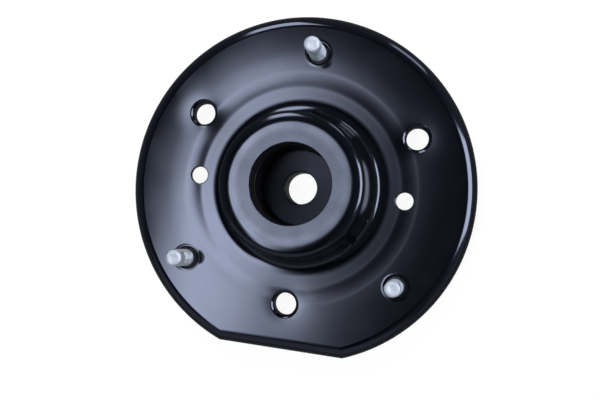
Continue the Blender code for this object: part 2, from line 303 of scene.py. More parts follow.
plateValues = {
    "radius": 104.0, "chord": 97.0, "sheet": 3.2, "bend": 7.5, "rimBottom": -20.5, "rimTurn": 0.25,
    "rimStraight": -14.0, "underside": (56.0, 70.0),
    "domeTop": 37.5, "flatTop": 33.8, "topDish": 0.12, "opening": 23.4, "openingEdge": 0.45,
    # Pressed ring: radius and slope, where a positive slope falls outwards
    "ring": ((54.5, 0.0), (57.5, 0.0), (58.6, -0.004), (59.3, -0.007), (59.9, -0.003), (60.4, 0.009),
             (61.0, 0.018), (61.6, 0.023), (62.6, 0.023), (63.4, 0.0195), (64.2, 0.0145),
             (65.0, 0.009), (65.8, 0.004), (66.6, -0.001), (67.4, -0.006), (68.2, -0.010),
             (68.9, -0.016), (69.4, -0.021), (69.9, -0.020), (70.4, -0.014), (71.0, -0.009),
             (72.0, -0.0062), (74.0, -0.0049), (77.0, -0.0035), (80.0, -0.0015), (82.0, 0.0)),
    "ringRows": ((82.5, 72.0, 8), (71.5, 58.1, 60), (57.0, 55.5, 2)),
    # Azimuth in the picture and share of the outward slope there
    "ringShare": ((-90, 1.0), (-40, 1.0), (0, 0.9), (20, 0.8), (40, 0.76), (60, 0.72), (80, 0.56),
                  (95, 0.6), (105, 0.66), (120, 0.83), (138, 0.58), (148, 0.8), (158, 1.12),
                  (168, 1.04), (182, 0.79), (200, 0.75), (220, 0.75), (245, 0.9)),
    # Dome's section from the foot up: kind, centre, radius, the slope at both ends and the steps
    "arcs": (("hollow", (54.0, 55.0), 55.0, 0.0, 2.2, 2),
             ("hollow", (52.541, 17.028), 17.0, 2.2, 18.2, 6),
             ("hollow", (48.278, 4.061), 3.35, 18.2, 42.2, 10),
             ("hollow", (51.401, 7.506), 8.0, 42.2, 86.75, 12),
             ("crown", (37.937, 33.009), 3.98, 86.75, 18.5, 16),
             ("crown", (35.256, 24.995), 12.43, 18.5, 9.0, 6),
             ("crown", (34.30, 18.96), 18.54, 9.0, 0.0, 6)),
    # Places of the studs and holes: angle from +Y towards -X and radius
    "studs": ((0.0, 81.0), (128.5, 81.0), (-128.5, 81.0)),
    "drawn": ((60.0, 74.8), (-60.0, 74.8), (180.0, 69.5)),
    "small": ((90.0, 62.3), (-90.0, 62.3)),
    "drawnBore": 6.6, "drawnBottom": -8.4, "collarWall": 2.3, "collarFlare": 1.6,
    # Rolled mouth: its width, depth and the slope that it starts with; then the cutter's flare
    "drawnEdge": (2.97, 1.9, 18.0), "drawnFlare": ((9.6, 0.3), (10.4, 0.7), (11.4, 1.3), (0.0, 1.3)),
    "smallBore": 5.1, "smallEdge": 0.6, "cutBottom": -6.0,
    # Stud's hole and its rounded mouth, as steps out from the hole and heights
    "studHole": 6.35,
    "studMouth": ((0.0, -0.9), (0.08, -0.55), (0.26, -0.26), (0.5, -0.08), (0.72, 0.03), (0.9, 0.3)),
    "stepsChord": 14, "stepsArc": 130,
}
paintLook = {
    "base": (0.0018, 0.0024, 0.0048), "baseDull": (0.0030, 0.0038, 0.0068), "metallic": 0.0,
    "specularTint": (0.735, 0.79, 1.0), "specular": 0.5, "roughness": (0.06, 0.105),
    "cloudScale": 28.0, "grainScale": 900.0,
    # Dome's flat top: its height and radius ranges, then gloss and mirror tone at both radii
    "topHeight": (0.0368, 0.0374), "topRadius": (0.0285, 0.0345),
    "topRoughness": (0.29, 0.12), "topSpecular": (1.0, 0.54),
    "wornScale": 75.0, "worn": (0.88, 1.1),
    # Dome's wall and shoulder
    "domeRadius": 0.046, "wallHeight": (0.003, 0.006), "wallRoughness": 0.12,
    "shoulderHeight": (0.032, 0.0345), "sideRadius": (0.0404, 0.0411), "sideHeight": (0.012, 0.020),
    "sideSpecular": 0.2,
    # Pressed relief round each drawn hole and stud: height, radius and width of a bell
    "drawnDish": (-0.00036, 0.0, 0.0092), "studLip": (0.00008, 0.0073, 0.0006),
    "peelScale": 160.0, "peelStrength": 0.10, "peelDistance": 0.00002,
    "speckScale": 95.0, "speckSize": 0.05, "speckShare": 0.03, "speckTone": (0.16, 0.17, 0.19),
    "speckRoughness": 0.6,
}


def polar(angle, radius):
    # A place on the plate: angle in degrees from +Y towards -X, in millimetres
    turn = math.radians(angle)
    return np.array([-radius * math.sin(turn), radius * math.cos(turn)])


def bellRelief(n, x, y, places, height, ringAt, width):
    # height * exp(-((distance from the hole's axis - ringAt) / width) ** 2), summed over the places
    total = 0.0
    for place in places:
        centre = polar(*place) * mm
        dx, dy = n.minus(x, centre[0]), n.minus(y, centre[1])
        away = n.math("SQRT", n.plus(n.times(dx, dx), n.times(dy, dy)))
        off = n.math("DIVIDE", n.minus(away, ringAt), width)
        total = n.plus(total, n.times(n.math("EXPONENT", n.times(n.times(off, off), -1.0)), height))
    return total


def makePaint(look, holes):
    # Glossy black paint: mottled gloss, faint orange peel, a few dust specks and a duller dome top
    material, n, shader, place, cloud, grain = startMaterial("black_paint_look", look)
    x, y, z = n.split(place)
    flat = n.math("SQRT", n.plus(n.times(x, x), n.times(y, y)))
    onTop = n.ramp(z, *look["topHeight"])
    onDome = n.math("LESS_THAN", flat, look["domeRadius"])
    specks = n.add("ShaderNodeGroup", {
        "Vector": place, "Scale": look["speckScale"], "Size": look["speckSize"],
        "Share": look["speckShare"],
    }, node_tree=speckGroup).outputs["Mask"]
    tone = n.mixColour(cloud, look["base"], look["baseDull"])
    n.feed(shader["Base Color"], n.mixColour(specks, tone, look["speckTone"]))

    # Mirror tone: weak on the dome's side wall, worn towards the middle of its top
    worn = n.times(n.ramp(flat, *look["topRadius"], *look["topSpecular"]),
                   n.ramp(n.noise(place, look["wornScale"], 3.0, 0.55), 0.3, 0.7, *look["worn"]))
    side = n.times(n.times(n.ramp(flat, *look["sideRadius"]), n.ramp(z, *look["sideHeight"])), onDome)
    mirror = n.mixValue(side, look["specular"], look["sideSpecular"])
    n.feed(shader["Specular IOR Level"], n.mixValue(onTop, mirror, worn))

    # Gloss: the plate's own, then the wall's, the shoulder's, the top's and that of the specks
    gloss = n.ramp(cloud, 0.3, 0.7, *look["roughness"])
    gloss = n.mixValue(n.times(n.ramp(z, *look["wallHeight"]), onDome), gloss, look["wallRoughness"])
    gloss = n.mixValue(n.ramp(z, *look["shoulderHeight"]), gloss, look["topRoughness"][1])
    gloss = n.mixValue(onTop, gloss, n.ramp(flat, *look["topRadius"], *look["topRoughness"]))
    n.feed(shader["Roughness"], n.mixValue(specks, gloss, look["speckRoughness"]))

    # Relief: sheet drawn in round the drawn holes, a slight lip round each stud, orange peel
    dish = bellRelief(n, x, y, holes["drawn"], *look["drawnDish"])
    relief = n.plus(dish, bellRelief(n, x, y, holes["studs"], *look["studLip"]))
    pressed = n.add("ShaderNodeBump", {"Height": relief, "Strength": 1.0, "Distance": 1.0})
    peel = n.plus(n.times(n.noise(place, look["peelScale"], 1.0, 0.4), 0.8), n.times(grain, 0.2))
    bump = n.add("ShaderNodeBump", {"Height": peel, "Strength": look["peelStrength"],
                                    "Distance": look["peelDistance"], "Normal": pressed.outputs[0]})
    n.feed(shader["Normal"], bump.outputs[0])
    return material


def ringShape(v, r):
    # Height and slope of the pressed ring at radius r, once for the part that falls outwards and
    # once for the part that rises. Each height is its slope summed from the outer end inwards
    table = np.array(v["ring"])
    fine = np.linspace(table[0, 0], table[-1, 0], 2801)
    slope = np.interp(fine, table[:, 0], table[:, 1])
    shapes = []
    for part in (np.maximum(slope, 0.0), np.minimum(slope, 0.0)):
        height = np.cumsum(part[::-1])[::-1] * (fine[1] - fine[0])
        shapes.append((np.interp(r, fine, height)[:, None], np.interp(r, fine, part)[:, None]))
    return shapes


def ringShare(v, turn):
    # The share at an angle from -Y towards +X, even between the table's azimuths
    azimuth = np.degrees(turn - imageTurn) - 90
    table = np.array(v["ringShare"])
    return np.interp(azimuth, table[:, 0], table[:, 1], period=360)


def plateSection(v):
    # The sheet's closed section: rows of kind, distance, height and the outward normal in that
    # plane. Kind 0 is an inset from the outline, 1 a radius, 2 a radius on the pressed ring, whose
    # height and normal come later. Bends are arcs, whose normals come from their centres
    parts = []

    def add(kind, points, normals):
        points = np.asarray(points, dtype=float)
        normals = np.broadcast_to(np.asarray(normals, dtype=float), points.shape)
        parts.append(np.column_stack([np.full(len(points), kind), points, normals]))

    def bend(kind, centre, radius, start, end, steps, outward):
        points = arcPoints(centre, radius, start, end, steps)
        normals = (points - np.asarray(centre)) / radius * outward
        if kind == 0:
            normals = normals * np.array([-1.0, 1.0])
        add(kind, points, normals)

    def domeArc(arc, steps, back):
        # back is the same arc on the sheet's inner face, walked the other way
        kind, centre, radius, low, high = arc[:5]
        way = -1.0 if kind == "hollow" else 1.0
        if back:
            radius, low, high = radius - way * v["sheet"], high, low
        start = 90 if kind == "crown" else 270
        bend(1, centre, radius, start - low, start - high, steps, -way if back else way)

    sheet, top, inner = v["sheet"], v["domeTop"], v["opening"]
    edge, turn = v["openingEdge"], v["rimTurn"]
    add(0, [(0.0, v["rimBottom"] + turn), (0.0, v["rimStraight"])], (1.0, 0.0))
    bend(0, (v["bend"], -v["bend"]), v["bend"], 180, 90, 20, 1.0)
    r = np.concatenate([np.linspace(*span) for span in v["ringRows"]])
    add(2, np.column_stack([r, np.zeros_like(r)]), (0.0, 1.0))
    for arc in v["arcs"]:
        domeArc(arc, arc[5], False)
    flat = np.linspace(v["flatTop"], inner + 0.5, 6)
    dish = v["topDish"] / (v["flatTop"] - inner)
    dished = np.column_stack([flat, top - dish * (v["flatTop"] - flat)])
    add(1, dished, np.array([-dish, 1.0]) / math.hypot(dish, 1.0))
    bend(1, (inner + edge, top - v["topDish"] - edge), edge, 92, 180, 6, 1.0)
    add(1, [(inner, top - sheet + 0.2)], (-1.0, 0.0))
    add(1, [(inner + 0.2, top - sheet), (v["flatTop"] - 0.2, top - sheet)], (0.0, -1.0))
    for arc in v["arcs"][::-1]:
        domeArc(arc, 4, True)
    add(1, [(r, -sheet) for r in v["underside"]], (0.0, -1.0))
    bend(0, (v["bend"], -v["bend"]), v["bend"] - sheet, 90, 180, 10, -1.0)
    add(0, [(sheet, v["rimBottom"] + turn)], (-1.0, 0.0))
    add(0, [(sheet - turn, v["rimBottom"]), (turn, v["rimBottom"])], (0.0, -1.0))
    return np.vstack(parts)


def keepNormals(mesh, normals):
    # Normals as a plain corner attribute, which a Boolean carries over to the pieces it cuts
    attribute = mesh.attributes.new("wanted", "FLOAT_VECTOR", "CORNER")
    attribute.data.foreach_set("vector", np.asarray(normals, dtype=np.float32).ravel())


def plateMesh(v):
    # The section laid round the outline, with its true normals kept in a corner attribute.
    # Where an inset d counts, the outline is the circle radius - d cut at chord - d; its corner is
    # at acos((chord - d) / (radius - d)) from the chord's middle, and both sides are stepped evenly
    section = plateSection(v)
    stepsChord, half = v["stepsChord"], v["stepsChord"] + v["stepsArc"]
    rows, total = len(section), 2 * half
    k = np.arange(half + 1)
    onChord = k < stepsChord
    inset, size = section[:, :1] == 0, section[:, 1:2]
    radius, chord = v["radius"] - size, v["chord"] - size
    corner = np.arccos(chord / radius)
    cutTurn = np.where(onChord, corner * k / stepsChord,
                       corner + (math.pi - corner) * (k - stepsChord) / v["stepsArc"])
    cutReach = np.where(onChord, chord / np.cos(np.minimum(cutTurn, corner)), radius)
    turn = np.where(inset, cutTurn, math.pi * k / half)
    reach = np.where(inset, cutReach, size)
    x, y = reach * np.sin(turn), -reach * np.cos(turn)
    grid = np.empty((rows, total, 3))
    grid[..., 0] = np.hstack([x, -x[:, -2:0:-1]])
    grid[..., 1] = np.hstack([y, y[:, -2:0:-1]])
    grid[..., 2] = section[:, 2:3]

    # The pressed ring's height is its rise plus its fall times the column's share
    sides = np.broadcast_to(section[:, None, 3:5], (rows, total, 2)).copy()
    onRing = section[:, 0] == 2
    (fall, fallSlope), (rise, riseSlope) = ringShape(v, section[onRing, 1])
    share = ringShare(v, math.pi * np.arange(total) / half)
    grid[onRing, :, 2] = rise + fall * share
    sides[onRing, :, 0] = riseSlope + fallSlope * share

    mesh = meshFromGrid("plate_surface", grid * mm)
    radial = grid[..., :2] / np.linalg.norm(grid[..., :2], axis=2)[..., None]
    cell = np.arange(total)
    chordCell = (cell < stepsChord) | (cell >= total - stepsChord)
    wanted = np.empty((rows, total, 4, 3))
    for corner, (dr, dc) in enumerate(((0, 0), (0, 1), (1, 1), (1, 0))):
        away = np.roll(radial, (-dr, -dc), axis=(0, 1))
        flatSide = np.roll(inset, -dr) & chordCell
        away = np.where(flatSide[..., None], np.array([0.0, -1.0]), away)
        normal = np.roll(sides, (-dr, -dc), axis=(0, 1))
        wanted[:, :, corner, :2] = away * normal[..., :1]
        wanted[:, :, corner, 2] = normal[..., 1]
    keepNormals(mesh, wanted.reshape(-1, 3))
    return mesh


def cutterMesh(profile, places, steps, sign):
    # Solid turned cutters: an open profile from the axis to the axis, one copy at each place.
    # The normal at a profile point is the mean of its two edges' normals where they turn little,
    # and each edge's own where they turn sharply; sign is -1 for cutters that are taken away
    startTurn, littleTurn = 0.02, 0.86  # an angle, and the cosine of a small one
    profile = np.asarray(profile, dtype=float)
    turn = np.linspace(0.0, math.tau, steps, endpoint=False) + startTurn
    edges = np.diff(profile, axis=0)
    own = np.column_stack([edges[:, 1], -edges[:, 0]]) / np.linalg.norm(edges, axis=1)[:, None]
    mean = own[:-1] + own[1:]
    mean /= np.maximum(np.linalg.norm(mean, axis=1), 1e-9)[:, None]
    soft = (own[:-1] * own[1:]).sum(axis=1) > littleTurn
    first, last = own.copy(), own.copy()
    last[:-1][soft] = mean[soft]
    first[1:][soft] = mean[soft]
    i = np.arange(steps)
    j = (i + 1) % steps

    def lean(normals, column):
        # Section normals turned round the axis to each column
        normals = sign * np.atleast_2d(normals)
        return turned(normals[:, :1], normals[:, 1:], turn[column])

    rings = profile[1:-1]
    index = 2 + np.arange(len(rings) * steps).reshape(len(rings), steps)
    ends = [(0.0, 0.0, profile[0, 1]), (0.0, 0.0, profile[-1, 1])]
    points = np.vstack([ends, turned(rings[:, :1], rings[:, 1:], turn).reshape(-1, 3)])
    foot = np.column_stack([np.zeros(steps, dtype=int), index[0, j], index[0, i]])
    head = np.column_stack([np.ones(steps, dtype=int), index[-1, i], index[-1, j]])
    low, high = index[:-1], index[1:]
    sides = np.stack([low[:, i], low[:, j], high[:, j], high[:, i]], axis=-1).reshape(-1, 4)
    footNormals = np.stack([lean(first[0], i), lean(last[0], j), lean(last[0], i)], axis=2)
    headNormals = np.stack([lean(last[-1], i), lean(first[-1], i), lean(first[-1], j)], axis=2)
    low, high = first[1:-1], last[1:-1]
    sideNormals = np.stack([lean(low, i), lean(low, j), lean(high, j), lean(high, i)], axis=2)
    oneNormals = [footNormals.reshape(-1, 3), headNormals.reshape(-1, 3), sideNormals.reshape(-1, 3)]
    allPoints, faces, normals = [], [], []
    for number, place in enumerate(places):
        offset = number * len(points)
        allPoints.append(points + np.array([*polar(*place), 0.0]))
        faces += [foot + offset, head + offset, sides + offset]
        normals += oneNormals
    mesh = meshFromFaces("cutter", np.vstack(allPoints) * mm, *faces)
    keepNormals(mesh, np.vstack(normals))
    return mesh


def cut(target, profile, places, steps, sign):
    # Boolean with turned cutters: sign 1 adds them and -1 takes them away
    cutter = addObject("cutter", cutterMesh(profile, places, steps, sign))
    modifier = target.modifiers.new("cut", "BOOLEAN")
    modifier.operation = "UNION" if sign > 0 else "DIFFERENCE"
    modifier.solver = "EXACT"
    modifier.object = cutter
    bpy.context.view_layer.update()
    graph = bpy.context.evaluated_depsgraph_get()
    shaped = bpy.data.meshes.new_from_object(target.evaluated_get(graph))
    target.modifiers.remove(modifier)
    target.data = shaped
    bpy.data.objects.remove(cutter, do_unlink=True)


def buildPlate(v):
    plate = addObject("plate_surface", plateMesh(v))
    sheet, bore, bottom = v["sheet"], v["drawnBore"], v["drawnBottom"]
    collar, flare = bore + v["collarWall"], v["collarFlare"]
    profile = [(0.0, bottom), (collar - 0.4, bottom), (collar, bottom + 0.4)]
    profile += list(arcPoints((collar + flare, 0.2 - sheet - flare), flare, 180, 95, 8))
    profile += [(collar - 1.0, -sheet / 2), (0.0, -sheet / 2)]
    cut(plate, profile, v["drawn"], 72, 1.0)

    # The rolled mouth is a part of an ellipse, from upright to the slope it starts with on the face
    wide, deep, start = v["drawnEdge"]
    turn = np.radians(np.linspace(0.0, 90.0 - start, 15))
    across = bore + wide * (1 - np.cos(turn))
    height = deep * (np.sin(turn) - math.cos(math.radians(start))) - 0.02
    profile = [(0.0, bottom - 3), (bore, bottom - 3)] + list(np.column_stack([across, height]))
    profile += [(across[-1] + 0.25, 0.05), *v["drawnFlare"]]
    cut(plate, profile, v["drawn"], 72, -1.0)

    hole, mouth, low = v["studHole"], v["studMouth"], v["cutBottom"]
    profile = [(0.0, low), (hole, low)] + [(hole + out, z) for out, z in mouth]
    cut(plate, profile + [(0.0, mouth[-1][1])], v["studs"], 64, -1.0)

    bore, edge = v["smallBore"], v["smallEdge"]
    rolled = arcPoints((bore + edge, -edge - 0.05), edge, 180, 98, 6)
    profile = [(0.0, low), (bore, low), *rolled]
    profile += [(bore + edge + 0.3, 0.3), (bore + edge + 0.6, 1.5), (0.0, 1.5)]
    cut(plate, profile, v["small"], 56, -1.0)

    mesh = plate.data
    mesh.materials.clear()
    mesh.materials.append(makePaint(paintLook, v))
    smoothFaces(mesh)
    wanted = np.empty(len(mesh.loops) * 3, dtype=np.float32)
    mesh.attributes["wanted"].data.foreach_get("vector", wanted)
    wanted = wanted.reshape(-1, 3)
    wanted /= np.maximum(np.linalg.norm(wanted, axis=1), 1e-6)[:, None]
    mesh.normals_split_custom_set(wanted.tolist())
    mesh.attributes.remove(mesh.attributes["wanted"])
    return standFor(plate, "housing", "black_paint", "upper_plate")


plate = buildPlate(plateValues)
print("plate ready", len(plate.data.polygons))


# Studs

studValues = {
    "headRadius": 8.5, "headBottom": -6.6, "headTop": -3.5, "collar": 6.2, "collarTop": -0.9,
    "neck": 4.4, "neckBottom": -1.5, "pitch": 1.25, "threadRadius": 4.98, "threadRoot": 4.24,
    "threadStart": 0.6, "threadEnd": 19.9, "easeIn": 0.8, "easeOut": 1.3,
    "lead": 4.65, "tip": 28.6, "tipFlat": 3.6, "recess": 0.15, "recessRadius": 2.4, "columns": 60,
    "sharp": 40.0,
}
zincLook = {
    "base": (0.68, 0.72, 0.78), "baseDull": (0.50, 0.54, 0.60), "metallic": 0.35,
    "roughness": (0.5, 0.68), "bump": (0.3, 0.00003), "cloudScale": 260.0, "grainScale": 2600.0,
    # Heights where the painted shade on the thread and on the collar ends, and its tones
    "threadTop": (0.0192, 0.0206), "threadShadeScale": 650.0, "threadShade": (0.55, 1.0),
    "collarTop": (0.0, 0.0012), "collarScale": 900.0, "collarShade": (0.03, 0.13),
}


# Painted shade, patchy in the thread's grooves and dark on the collar in the hole; plain lead
def studShade(n, place, tone):
    # Grey collar in the hole's shade, a darker grimy thread and a lighter lead above it
    look = zincLook
    x, y, height = n.split(place)
    threadShade = n.ramp(n.noise(place, look["threadShadeScale"], 2.0, 0.6), 0.38, 0.62, *look["threadShade"])
    collar = n.ramp(n.noise(place, look["collarScale"], 2.0, 0.6), 0.47, 0.62, *look["collarShade"])
    thread = n.mixValue(n.ramp(height, *look["threadTop"]), threadShade, 1.0)
    shade = n.mixValue(n.ramp(height, *look["collarTop"]), collar, thread)
    return n.mixColour(shade, (0.0, 0.0, 0.0), tone)


def studGrid(v):
    # Rows of radius and height round the axis. The thread's radius is root + depth * w, where w is
    # a clipped triangle wave of (z / pitch - angle / turn), eased into the neck and into the lead
    head, bottom, top = v["headRadius"], v["headBottom"], v["headTop"]
    collar, rise, neck, deep = v["collar"], v["collarTop"], v["neck"], v["neckBottom"]
    low = np.array([
        (0.02, bottom), (head - 0.7, bottom), (head - 0.2, bottom + 0.2), (head, bottom + 0.7),
        (head, top - 0.2), (head - 0.2, top), (collar, top), (collar, rise - 0.3),
        (collar - 0.1, rise - 0.08), (collar - 0.3, rise), (collar - 0.35, rise),
        (collar - 0.45, rise - 0.2), (collar - 0.5, deep), (neck + 0.1, deep), (neck, deep + 0.2),
        (neck, 0.4)])
    lead, tip, flat = v["lead"], v["tip"], v["tipFlat"]
    high = np.array([
        (lead, v["threadEnd"] + 0.9), (lead, tip - 1.2), (lead - 0.12, tip - 0.85),
        (flat + 0.25, tip - 0.1), (flat, tip), (v["recessRadius"], tip),
        (v["recessRadius"] - 0.3, tip - v["recess"]), (0.02, tip - v["recess"])])
    angle = np.linspace(0.0, math.tau, v["columns"], endpoint=False)
    z = np.arange(v["threadStart"], v["threadEnd"] + 0.6, v["pitch"] / 12)[:, None]
    phase = (z / v["pitch"] - angle / math.tau) % 1.0
    wave = np.clip(1.25 * (1.0 - np.abs(2.0 * phase - 1.0)) - 0.1, 0.0, 1.0)
    thread = v["threadRoot"] + (v["threadRadius"] - v["threadRoot"]) * wave
    share = np.clip((v["threadEnd"] - z) / v["easeOut"], 0.0, 1.0)
    thread = share * thread + (1.0 - share) * lead
    share = np.clip((z - v["threadStart"]) / v["easeIn"], 0.0, 1.0)
    thread = share * thread + (1.0 - share) * neck
    even = np.ones_like(angle)
    radius = np.vstack([low[:, :1] * even, thread, high[:, :1] * even])
    return turned(radius, np.vstack([low[:, 1:], z, high[:, 1:]]), angle)


def buildStuds(v, places):
    grid = studGrid(v)
    zinc = makeFinish("zinc_plate_look", zincLook, [studShade])
    for number, place in enumerate(places, start=1):
        name = "stud_%d" % number
        mesh = cappedMesh(name + "_surface", (grid + np.array([*polar(*place), 0.0])) * mm)
        smoothFaces(mesh)
        mesh.set_sharp_from_angle(angle=math.radians(v["sharp"]))
        mesh.update()
        standFor(addObject(name + "_surface", mesh, zinc), "housing", "zinc_plate", name)


buildStuds(studValues, plateValues["studs"])
print("studs ready")


# Rubber, cup, retainer, bearing and seat

steelLook = {
    "base": (0.40, 0.40, 0.41), "baseDull": (0.28, 0.28, 0.30), "metallic": 1.0,
    "roughness": (0.40, 0.55), "bump": (0.15, 0.00002), "cloudScale": 120.0, "grainScale": 1800.0,
}
rubberLook = {
    "base": (0.0050, 0.0052, 0.0060), "baseDull": (0.0085, 0.0087, 0.0100), "metallic": 0.0,
    "specular": 0.22, "roughness": (0.34, 0.62), "bump": (0.6, 0.00008), "cloudScale": 110.0,
    "grainScale": 900.0,
}
innerLooks = {
    "bearing_steel": steelLook,
    "cage_sheet": dict(steelLook, base=(0.42, 0.41, 0.39), baseDull=(0.34, 0.33, 0.31),
                       roughness=(0.35, 0.5), bump=(0.25, 0.00002)),
    "satin_black": {
        "base": (0.0045, 0.0050, 0.0066), "baseDull": (0.0075, 0.0080, 0.0100), "metallic": 0.0,
        "specular": 0.25, "roughness": (0.34, 0.5), "bump": (0.3, 0.00003), "cloudScale": 60.0,
        "grainScale": 1200.0,
    },
    "matte_black": {
        "base": (0.0042, 0.0046, 0.0085), "baseDull": (0.0060, 0.0065, 0.0120), "metallic": 0.0,
        "specular": 0.105, "specularTint": (0.72, 0.76, 1.0), "roughness": (0.21, 0.26),
        "bump": (0.35, 0.00003), "cloudScale": 90.0, "grainScale": 1600.0,
    },
    "moulded_rubber": rubberLook,
    "seal_rubber": dict(rubberLook, bump=(0.4, 0.00004), cloudScale=150.0),
}
# Painted shade on the bearing's outer ring deep in the well: height, radius and tone
wellShadeValues = {"above": -0.0034, "outside": 0.021, "tone": (0.02, 0.02, 0.02)}

# Body, slot, corner radius, steps round and profile of each turned piece
turnedValues = {
    "rubber_isolator": ("housing", "moulded_rubber", 0.8, 160, [
        (23.7, 33.9), (23.3, 33.5), (23.3, 21.8), (25.8, 21.8), (25.8, 1.0), (27.9, 0.4),
        (28.8, -0.6), (28.8, -10.6), (29.8, -11.2), (31.2, -8.2), (32.6, -8.6), (34.6, -14.9),
        (43.3, -14.9), (44.7, -13.5), (44.7, -3.6), (41.4, 1.6), (39.8, 6.6), (38.3, 31.6),
        (36.9, 33.5), (31.6, 33.9), (30.2, 29.5), (28.0, 29.5), (26.6, 33.9)]),
    "inner_cup": ("housing", "satin_black", 0.9, 160, [
        (23.6, 21.5), (23.3, 21.2), (23.3, -2.2), (26.3, -2.2), (26.3, -17.8), (24.4, -17.8),
        (24.4, -19.6), (27.6, -19.6), (28.5, -18.7), (28.5, -0.9), (27.6, 0.0), (25.5, 0.6),
        (25.5, 21.2), (25.2, 21.5)]),
    "lower_retainer": ("housing", "satin_black", 1.1, 200, [
        (56.6, -3.5), (48.9, -3.5), (46.4, -4.7), (45.3, -7.0), (45.3, -13.8), (43.9, -15.2),
        (34.0, -15.2), (34.0, -17.4), (44.6, -17.4), (46.7, -16.6), (47.5, -14.5), (47.5, -7.6),
        (48.2, -6.2), (49.7, -5.7), (56.6, -5.7)]),
    "seat_washer": ("rod_seat", "matte_black", 0.4, 160, [
        (9.9, -2.2), (15.2, -2.2), (15.9, -1.5), (22.3, -1.4), (22.6, -1.1), (22.6, 0.0),
        (22.2, 0.35), (10.2, -0.5), (9.9, -0.8)]),
}
bearingValues = {
    "top": -2.5, "foot": -17.5, "pitch": 18.0, "groove": 4.3, "land": 2.8, "bore": 9.6, "outer": 26.0,
    "recess": 1.1, "recessDepth": 2.0, "innerEdge": 0.5, "outerEdge": 0.6,
}


def wellShade(n, place, tone):
    # Painted shade on the outer ring's top face in the well: above one height, outside one radius
    v = wellShadeValues
    x, y, z = n.split(place)
    outside = n.math("GREATER_THAN", n.plus(n.times(x, x), n.times(y, y)), v["outside"] ** 2)
    return n.mixColour(n.times(n.math("GREATER_THAN", z, v["above"]), outside), tone, v["tone"])


def bearingPieces(v):
    # Rings with round grooves, the land standing off the groove circle, and seals in the recesses
    middle = 0.5 * (v["top"] + v["foot"])
    half = math.degrees(math.acos(v["land"] / v["groove"]))
    innerLand, outerLand = v["pitch"] - v["land"], v["pitch"] + v["land"]
    top, foot, bore, outside, deep = v["top"], v["foot"], v["bore"], v["outer"], v["recessDepth"]
    recess, small, large = outerLand + v["recess"], v["innerEdge"], v["outerEdge"]
    left = arcPoints((v["pitch"], middle), v["groove"], 180 - half, 180 + half, 12)
    right = arcPoints((v["pitch"], middle), v["groove"], half, -half, 12)
    inner = [(bore + small, top), (innerLand, top), *left, (innerLand, foot), (bore + small, foot),
             (bore, foot + small), (bore, top - small)]
    outer = [(recess, top), (recess, top - deep), (outerLand, top - deep), *right,
             (outerLand, foot + deep), (recess, foot + deep), (recess, foot), (outside - large, foot),
             (outside, foot + large), (outside, top - large), (outside - large, top)]
    pieces = {"bearing_inner_ring": ("rod_seat", "bearing_steel", 0.3, 128, inner),
              "bearing_outer_ring": ("housing", "bearing_steel", 0.3, 128, outer)}
    # Seal's section: steps out from the inner land, and depths under the ring's face
    lip = [(0.3, 0.6), (1.0, 0.3), (2.2, 0.3), (2.5, 0.55), (3.4, 0.55), (3.7, 0.3)]
    lip += [(recess - 0.3 - innerLand, 0.3), (recess - 0.3 - innerLand, 1.7), (0.3, 1.5)]
    for name, face, way in (("upper_seal", top, -1.0), ("lower_seal", foot, 1.0)):
        profile = [(innerLand + out, face + way * depth) for out, depth in lip]
        pieces[name] = ("housing", "seal_rubber", 0.15, 128, profile)
    return pieces


def buildInner():
    finishes = {}
    for slot, look in innerLooks.items():
        # metal finishes carry the painted shade on the outer ring's top face
        finishes[slot] = makeFinish(slot + "_look", look, [wellShade] if look["metallic"] else [])
    pieces = {**turnedValues, **bearingPieces(bearingValues)}
    for name, (body, slot, radius, steps, profile) in pieces.items():
        mesh = turnedMesh(name + "_surface", roundedProfile(profile, radius), steps)
        standFor(addObject(name + "_surface", mesh, finishes[slot]), body, slot, name)
    for name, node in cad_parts.items():
        if name.startswith("ball_"):
            slot = "cage_sheet" if name == "ball_cage" else "bearing_steel"
            node.data.materials.clear()
            node.data.materials.append(finishes[slot])


buildInner()
print("inner pieces ready")


# Camera

cameraValues = {
    "focalPixels": 982.96, "widthPixels": 600.0, "position": (90.976, -34.998, 576.156),
    "tiltX": -0.0475308, "tiltY": -0.1568844, "sensor": 36.0,
}


def placeCamera(v):
    # The fitted pinhole camera: rows of tilt are its right, up and back axes in the picture's frame
    a, b = v["tiltX"], v["tiltY"]
    aboutX = np.array([[1, 0, 0], [0, math.cos(a), -math.sin(a)], [0, math.sin(a), math.cos(a)]])
    aboutY = np.array([[math.cos(b), 0, math.sin(b)], [0, 1, 0], [-math.sin(b), 0, math.cos(b)]])
    tilt = Matrix((aboutX @ aboutY).T.tolist()).to_4x4()
    data = bpy.data.cameras.new("camera")
    data.sensor_width = v["sensor"]
    data.lens = v["sensor"] * v["focalPixels"] / v["widthPixels"]
    data.clip_start = 0.01
    data.clip_end = 20.0
    camera = addObject("camera", data)
    placed = Matrix.Translation(Vector(v["position"]) * mm) @ tilt
    camera.matrix_world = Matrix.Rotation(imageTurn, 4, "Z") @ placed
    bpy.context.scene.camera = camera


placeCamera(cameraValues)
print("camera ready")


# Lights: cards that the paint reflects, a pale floor and the world

lampColour = (0.94, 0.985, 1.075)
keyValues = {
    "height": 12.0, "turn": 0.3762, "left": -0.2957, "leftSoft": 0.0090, "leftLean": 0.06,
    "right": -0.187, "rightSoft": 0.030, "top": 0.0991, "topSoft": 0.0185, "bottom": -0.485,
    "bottomSoft": 0.03, "slope": 7.72, "least": 0.2, "strength": 11.3,
    # Soft patches: strength, place and width in both directions
    "patches": ((0.88, -0.22, 0.03, 0.064, 0.064), (1.7, -0.262, -0.022, 0.020, 0.12),
                (-2.2, -0.226, 0.192, 0.047, 0.021), (3.2, -0.185, 0.179, 0.036, 0.016),
                (2.2, -0.163, -0.0725, 0.017, 0.020)),
    # Card's edges as slopes from the camera's mirrored place
    "cardX": (-0.60, 0.10), "cardY": (-0.62, 0.35),
}


def emptyNodes(block):
    block.use_nodes = True
    block.node_tree.nodes.clear()
    return Nodes(block.node_tree)


